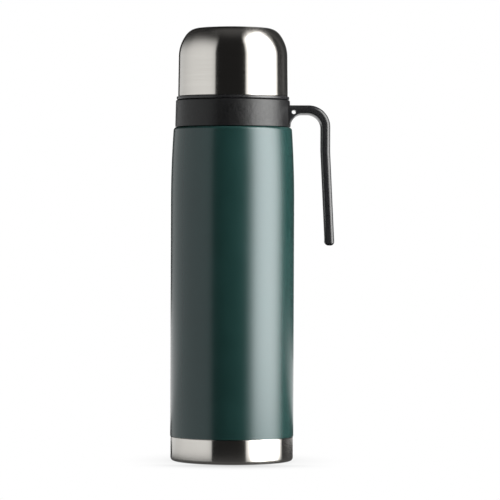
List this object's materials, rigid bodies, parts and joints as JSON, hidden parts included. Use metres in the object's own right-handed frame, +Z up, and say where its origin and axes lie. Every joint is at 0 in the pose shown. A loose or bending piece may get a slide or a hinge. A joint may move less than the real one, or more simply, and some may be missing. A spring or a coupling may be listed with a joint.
{
  "type": "vacuum flask",
  "caption": "Tall double-walled steel vacuum flask with screw-on steel cup, push-button pouring stopper, black collar and open side handle.",
  "frame": {"origin": "centre of the flat base, on the surface that the flask stands on", "axes": "+Z up along the bottle's axis, +X towards the handle, +Y away from the viewer who sees the handle on the right"},
  "size_m": [0.1138, 0.086, 0.3023],
  "materials": {
    "lacquered_steel": "dark green satin lacquer on steel",
    "brushed_steel": "fine brushed round the axis",
    "plain_steel": "drawn, matt",
    "zinc_steel": "zinc plated",
    "copper_foil": "thin copper foil",
    "grained_black_plastic": "fine spark-eroded grain",
    "satin_black_plastic": "smooth satin",
    "button_plastic": "dark grey satin",
    "silicone": "translucent grey silicone",
    "black_rubber": "matt anti-slip rubber",
    "sealing_glass": "solder glass bead"
  },
  "bodies": {
    "vessel": {"outer_shell": "lacquered_steel", "base_cup": "brushed_steel", "base_pad": "black_rubber", "vacuum_seal_bead": "sealing_glass", "getter": "zinc_steel", "inner_vessel": "plain_steel", "inner_bottom": "plain_steel", "copper_foil": "copper_foil", "collar": "grained_black_plastic", "collar_gasket": "silicone", "handle": "satin_black_plastic", "handle_screw_front": "zinc_steel", "handle_screw_rear": "zinc_steel"},
    "cup_lifter": {"cup_seal": "silicone"},
    "cup": {"cup_shell": "brushed_steel", "cup_liner": "satin_black_plastic"},
    "stopper_lifter": {"stopper_gasket": "silicone"},
    "stopper": {"stopper_body": "satin_black_plastic", "stopper_cover": "grained_black_plastic", "valve_spring": "plain_steel"},
    "valve": {"push_button": "button_plastic", "valve_stem": "satin_black_plastic", "valve_plate": "satin_black_plastic", "valve_seal": "silicone"},
    "front_tab": {"release_tab_front": "button_plastic"},
    "rear_tab": {"release_tab_rear": "button_plastic"}
  },
  "joints": [
    {"name": "cup_lift", "type": "slide", "parent": "vessel", "child": "cup_lifter", "axis": [0, 0, 1], "range_m": [0, 0.0421]},
    {"name": "cup_turn", "type": "hinge", "parent": "cup_lifter", "child": "cup", "pos_m": [0, 0, 0.2516], "axis": [0, 0, 1], "range_deg": [0, 2520]},
    {"name": "stopper_lift", "type": "slide", "parent": "vessel", "child": "stopper_lifter", "axis": [0, 0, 1], "range_m": [0, 0.02605]},
    {"name": "stopper_turn", "type": "hinge", "parent": "stopper_lifter", "child": "stopper", "pos_m": [0, 0, 0.2565], "axis": [0, 0, 1], "range_deg": [0, 2340]},
    {"name": "button_press", "type": "slide", "parent": "stopper", "child": "valve", "axis": [0, 0, -1], "range_m": [0, 0.004], "stiffness_N_per_m": 900, "springref_m": -0.004, "deforming": ["valve_spring"]},
    {"name": "front_tab_press", "type": "slide", "parent": "stopper", "child": "front_tab", "axis": [0, 1, 0], "range_m": [0, 0.0015], "stiffness_N_per_m": 600, "springref_m": -0.002},
    {"name": "rear_tab_press", "type": "slide", "parent": "stopper", "child": "rear_tab", "axis": [0, -1, 0], "range_m": [0, 0.0015], "stiffness_N_per_m": 600, "springref_m": -0.002}
  ],
  "couplings": [
    {"joint": "cup_lift", "follows": "cup_turn", "m_per_rad": 0.00095493},
    {"joint": "stopper_lift", "follows": "stopper_turn", "m_per_rad": 0.00063662}
  ]
}
